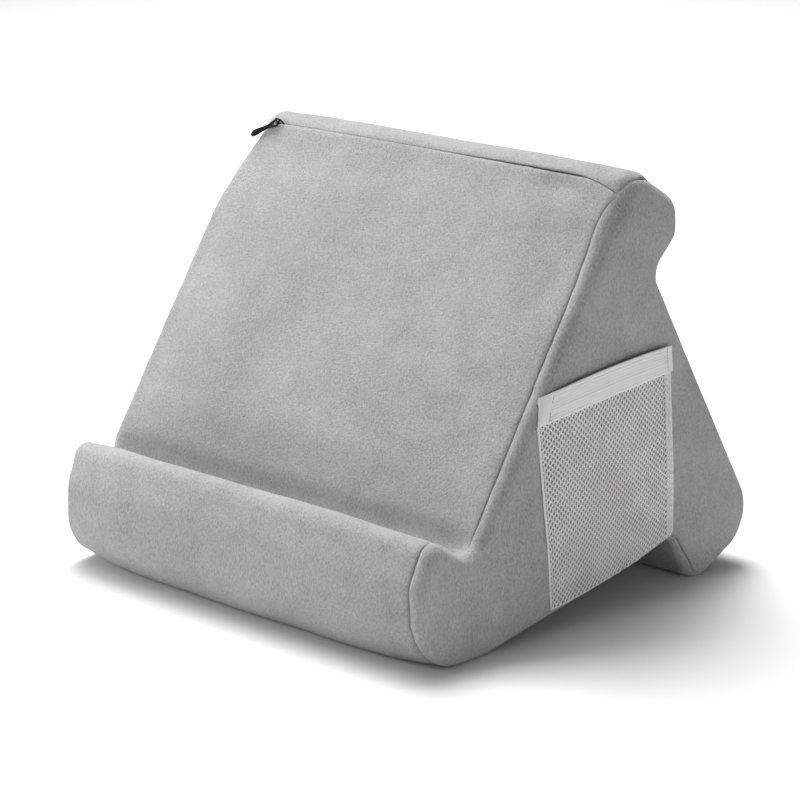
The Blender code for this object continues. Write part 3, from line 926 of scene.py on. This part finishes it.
# ---- materials ----
class Shading:
    """A material's nodes, added one after the other."""

    def __init__(self, name):
        self.material = bpy.data.materials.new(name)
        self.material.use_nodes = True
        self.nodes = self.material.node_tree.nodes
        self.links = self.material.node_tree.links
        self.surface = self.nodes["Principled BSDF"]
        self.place = self.nodes.new("ShaderNodeTexCoord").outputs["Object"]

    def link(self, value, socket):
        if isinstance(value, bpy.types.NodeSocket):
            self.links.new(value, socket)
        else:
            socket.default_value = value

    def set(self, **inputs):
        for name, value in inputs.items():
            self.link(value, self.surface.inputs[name.replace("_", " ")])

    def add(self, kind, **inputs):
        node = self.nodes.new("ShaderNode" + kind)
        for name, value in inputs.items():
            self.link(value, node.inputs[name])
        return node

    def turned(self, turn, scale=(1, 1, 1)):
        return self.add("Mapping", Vector=self.place, Rotation=turn, Scale=scale).outputs[0]

    def noise(self, scale, detail=2.0, roughness=0.5, where=None, warp=0.0):
        node = self.add(
            "TexNoise", Vector=where or self.place, Scale=scale, Detail=detail,
            Roughness=roughness, Distortion=warp)
        return node.outputs["Fac"]

    def wave(self, scale, where, direction="X"):
        node = self.add("TexWave", Vector=where, Scale=scale)
        node.bands_direction = direction
        return node.outputs["Fac"]

    def voronoi(self, scale):
        return self.add("TexVoronoi", Vector=self.place, Scale=scale).outputs["Distance"]

    def math(self, operation, a, b=0.0, c=0.0):
        node = self.add("Math")
        node.operation = operation
        for value, socket in zip((a, b, c), node.inputs):
            self.link(value, socket)
        return node.outputs[0]

    def ranged(self, value, low, high, to_low, to_high):
        node = self.add("MapRange")
        for v, socket in zip((value, low, high, to_low, to_high), node.inputs):
            self.link(v, socket)
        return node.outputs[0]

    def tint(self, brightness, dark, light):
        """A colour between two, by a value from 0 to 1."""
        node = self.add("Mix")
        node.data_type = "RGBA"
        self.link(brightness, node.inputs["Factor"])
        node.inputs["A"].default_value = (*dark, 1)
        node.inputs["B"].default_value = (*light, 1)
        return node.outputs["Result"]

    def bump(self, height, distance, strength=1.0):
        node = self.add("Bump", Height=height, Distance=distance, Strength=strength)
        self.links.new(node.outputs["Normal"], self.surface.inputs["Normal"])


def plush():
    """Short-pile plush: brushed patches, a fine grain and a pale sheen at grazing angles."""
    m = Shading("grey plush")
    patches = m.noise(15, 3, 0.55, warp=0.6)
    clumps = m.noise(75, 3, 0.6)
    pile = m.noise(900, 3, 0.75, where=m.turned((0.4, 0, 0.6), (1, 1, 0.6)))
    fine = m.noise(1700, 2, 0.6)
    shade = m.math("MULTIPLY_ADD", m.math("SUBTRACT", patches, 0.5), 0.55, 0.5)
    shade = m.math("MULTIPLY_ADD", m.math("SUBTRACT", clumps, 0.5), 0.35, shade)
    shade = m.math("MULTIPLY_ADD", m.math("SUBTRACT", pile, 0.5), 1.7, shade)
    m.set(
        Base_Color=m.tint(shade, (0.22, 0.2195, 0.219), (0.56, 0.5595, 0.559)),
        Roughness=0.92, Sheen_Weight=0.35, Sheen_Roughness=0.5, Specular_IOR_Level=0.12)
    m.bump(m.math("MULTIPLY_ADD", fine, 0.5, pile), 0.0011, 0.8)
    return m.material


def foam():
    m = Shading("open-cell foam")
    cells = m.voronoi(900)
    shade = m.math("MULTIPLY_ADD", m.noise(40, 2), 0.4, m.math("MULTIPLY", cells, 0.5))
    m.set(Base_Color=m.tint(shade, (0.62, 0.58, 0.45), (0.86, 0.83, 0.72)), Roughness=0.95)
    m.bump(cells, 0.0008, 0.7)
    return m.material


def netting():
    """Knitted polyester mesh: fine loops along each strand."""
    m = Shading("knitted mesh")
    loops = m.wave(420, m.turned((0.5, 0, 0)), "Z")
    fuzz = m.noise(900, 2, 0.6)
    shade = m.math("MULTIPLY_ADD", loops, 0.35, m.math("MULTIPLY", fuzz, 0.5))
    m.set(
        Base_Color=m.tint(shade, (0.72, 0.718, 0.715), (0.95, 0.948, 0.945)),
        Roughness=0.7, Sheen_Weight=0.15, Sheen_Roughness=0.4, Specular_IOR_Level=0.3)
    m.bump(m.math("MULTIPLY_ADD", fuzz, 0.6, loops), 0.0002, 0.5)
    return m.material


def elastic():
    """Woven elastic: a fine cross weave over its ribs."""
    m = Shading("woven elastic")
    weave = m.wave(330, m.place, "Y")
    wear = m.noise(60, 3, 0.6)
    fuzz = m.noise(1100, 2, 0.6)
    shade = m.math("MULTIPLY_ADD", weave, 0.3, m.math("MULTIPLY", wear, 0.5))
    shade = m.math("MULTIPLY_ADD", fuzz, 0.3, shade)
    m.set(
        Base_Color=m.tint(shade, (0.71, 0.71, 0.705), (0.9, 0.9, 0.895)),
        Roughness=0.65, Sheen_Weight=0.1, Sheen_Roughness=0.4, Specular_IOR_Level=0.3)
    m.bump(m.math("MULTIPLY_ADD", fuzz, 0.5, weave), 0.00015, 0.5)
    return m.material


def thread(name, dark, light):
    m = Shading(name)
    twist = m.wave(1400, m.turned((0.6, 0.5, 0.4)))
    m.set(Base_Color=m.tint(twist, dark, light), Roughness=0.6)
    m.bump(twist, 0.0001, 0.6)
    return m.material


def woven_tape():
    m = Shading("zip tape")
    along = m.wave(500, m.place, "X")
    across = m.wave(500, m.turned((ZIP_TILT, 0, 0)), "Y")
    weave = m.math("MULTIPLY", along, across)
    m.set(Base_Color=m.tint(weave, (0.12, 0.119, 0.117), (0.26, 0.257, 0.254)), Roughness=0.8)
    m.bump(weave, 0.0002, 0.6)
    return m.material


def nylon():
    m = Shading("coil nylon")
    shade = m.noise(300, 2)
    m.set(Base_Color=m.tint(shade, (0.13, 0.129, 0.127), (0.2, 0.198, 0.195)), Roughness=0.38)
    return m.material


def enamel():
    """Black enamel on cast metal, a little worn where it is handled."""
    m = Shading("black enamel")
    wear = m.noise(700, 4, 0.65)
    smudge = m.noise(160, 3)
    worn = m.ranged(wear, 0.62, 0.78, 0.0, 1.0)
    m.set(
        Base_Color=m.tint(worn, (0.006, 0.006, 0.007), (0.02, 0.02, 0.022)),
        Roughness=m.ranged(smudge, 0.3, 0.7, 0.3, 0.45), Specular_IOR_Level=0.12)
    m.bump(wear, 0.00004, 0.3)
    return m.material


def paint(obj, finish):
    obj.data.materials.clear()
    obj.data.materials.append(finish)


# ---- putting it together ----
def build_cover(finish):
    """The three strips round the profile and the two side panels."""
    front, front_length = build_strip("cover_front", 0.0, TOE_SEAM, from_zip=True)
    base, base_length = build_strip("cover_base", TOE_SEAM, FOOT_SEAM)
    back, back_length = build_strip("cover_back", FOOT_SEAM, ROUND, to_zip=True)
    for obj, node, length in (
            (front, "front_panel", front_length), (base, "base_panel", base_length),
            (back, "back_panel", back_length)):
        paint(obj, finish)
        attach(obj, "root")
        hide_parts(node)
    for side, node in ((-1, "left_side_panel"), (1, "right_side_panel")):
        obj = build_side("cover_" + node.replace("_panel", ""), side)
        paint(obj, finish)
        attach(obj, "root")
        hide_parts(node)


def build_pocket(mesh_finish, band_finish, thread_finish):
    width, height = pocket_size()
    net = build_pocket_mesh()
    band = build_band()
    left = build_hem("pocket_front_hem", -0.002, 0.018, BAND_FROM, 0.12, 0.25)
    right = build_hem("pocket_rear_hem", 1 - 6.0 / width, 1.004, BAND_FROM, -0.35, 0.3)
    stitches = build_stitches("pocket_stitching", pocket_stitches(), 0.2)
    for obj, finish, slot in (
            (net, mesh_finish, "mesh_fabric"), (left, mesh_finish, "mesh_fabric"),
            (right, mesh_finish, "mesh_fabric"), (band, band_finish, "elastic"),
            (stitches, thread_finish, "mesh_fabric")):
        paint(obj, finish)
        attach(obj, "root")
    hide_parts("pocket_mesh")
    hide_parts("pocket_elastic_band")


def build_zip(thread_finish):
    tape, coil, metal = woven_tape(), nylon(), enamel()
    for name in ("zip_tape_front", "zip_tape_back"):
        paint(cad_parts[name], tape)
    for name in ("zip_slider_body", "zip_slider_crown", "zip_top_stop", "zip_bottom_stop"):
        paint(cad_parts[name], metal)
    for side, end in ((-1, "front"), (1, "back")):
        obj = build_coil("zip_spiral_" + end, side)
        paint(obj, coil)
        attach(obj, "root")
        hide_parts("zip_coil_" + end)
    pull = build_pull()
    paint(pull, metal)
    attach(pull, "pull")
    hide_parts("zip_pull")
    for name, stitches in (
            ("seam_thread_left", seam_stitches(-1)), ("seam_thread_right", seam_stitches(1)),
            ("seam_thread_top", top_stitches())):
        obj = build_stitches(name, stitches, 0.22)
        paint(obj, thread_finish)
        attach(obj, "root")


def add_floor():
    size = 14.0
    mesh = bpy.data.meshes.new("floor")
    mesh.from_pydata(
        [(-size, -size, 0), (size, -size, 0), (size, size, 0), (-size, size, 0)], [],
        [(0, 1, 2, 3)])
    m = Shading("pale floor")
    shade = m.noise(3, 2)
    m.set(Base_Color=m.tint(shade, (0.78, 0.78, 0.78), (0.8, 0.8, 0.8)), Roughness=0.9)
    mesh.materials.append(m.material)
    floor = add_object("floor", mesh)


def add_softbox(name, place, target, size, watts, spread=180):
    light = bpy.data.lights.new(name, "AREA")
    light.shape = "RECTANGLE"
    light.size, light.size_y = size
    light.energy = watts
    light.spread = math.radians(spread)
    obj = add_object(name, light)
    obj.location = place
    obj.visible_camera = False
    aim = Vector(place) - Vector(target)
    obj.rotation_euler = aim.to_track_quat("Z", "Y").to_euler()


def add_lights():
    sun = bpy.data.lights.new("overhead light", "SUN")
    sun.energy = 1.75
    sun.angle = math.radians(50)
    obj = add_object("overhead light", sun)
    obj.rotation_euler = Vector((-0.42, 0.08, 0.9)).to_track_quat("Z", "Y").to_euler()
    add_softbox("overhead softbox", (-0.5, 0.35, 1.5), (0, 0.02, 0.2), (0.9, 0.9), 28)
    add_softbox("front left softbox", (-0.95, -0.75, 0.35), (-0.03, -0.12, 0.05), (0.6, 0.5), 7.0)
    add_softbox("low right softbox", (1.0, -0.05, 0.12), (0.15, -0.02, 0.04), (0.6, 0.16), 0.22, 70)
    add_softbox("background softbox", (-1.2, 1.3, 1.3), (-1.2, 1.3, 0), (1.6, 1.6), 10, 110)
    world = bpy.data.worlds.new("studio")
    world.use_nodes = True
    background = world.node_tree.nodes["Background"]
    background.inputs["Color"].default_value = (1, 1, 1, 1)
    background.inputs["Strength"].default_value = 0.155
    bpy.context.scene.world = world


def add_camera():
    azimuth, elevation, distance = math.radians(43.55), math.radians(14.7), 1.788
    target = Vector((0, -0.0093, 0.1257))
    back = Vector((
        math.sin(azimuth) * math.cos(elevation),
        -math.cos(azimuth) * math.cos(elevation),
        math.sin(elevation)))
    camera = bpy.data.cameras.new("camera")
    camera.lens = 135.7
    camera.sensor_width = 36
    camera.shift_x = 0.006
    camera.shift_y = -0.0475
    obj = add_object("camera", camera)
    obj.location = target + back * distance
    obj.rotation_euler = (-back).to_track_quat("-Z", "Y").to_euler()
    bpy.context.scene.camera = obj


add_camera()
add_lights()
add_floor()
foam_block = build_foam()
paint(foam_block, foam())
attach(foam_block, "root")
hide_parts("foam_core")
build_cover(plush())
GREY_THREAD = thread("grey thread", (0.2, 0.198, 0.195), (0.34, 0.337, 0.333))
build_pocket(netting(), elastic(), GREY_THREAD)
build_zip(GREY_THREAD)
bpy.context.scene.view_settings.view_transform = "Standard"
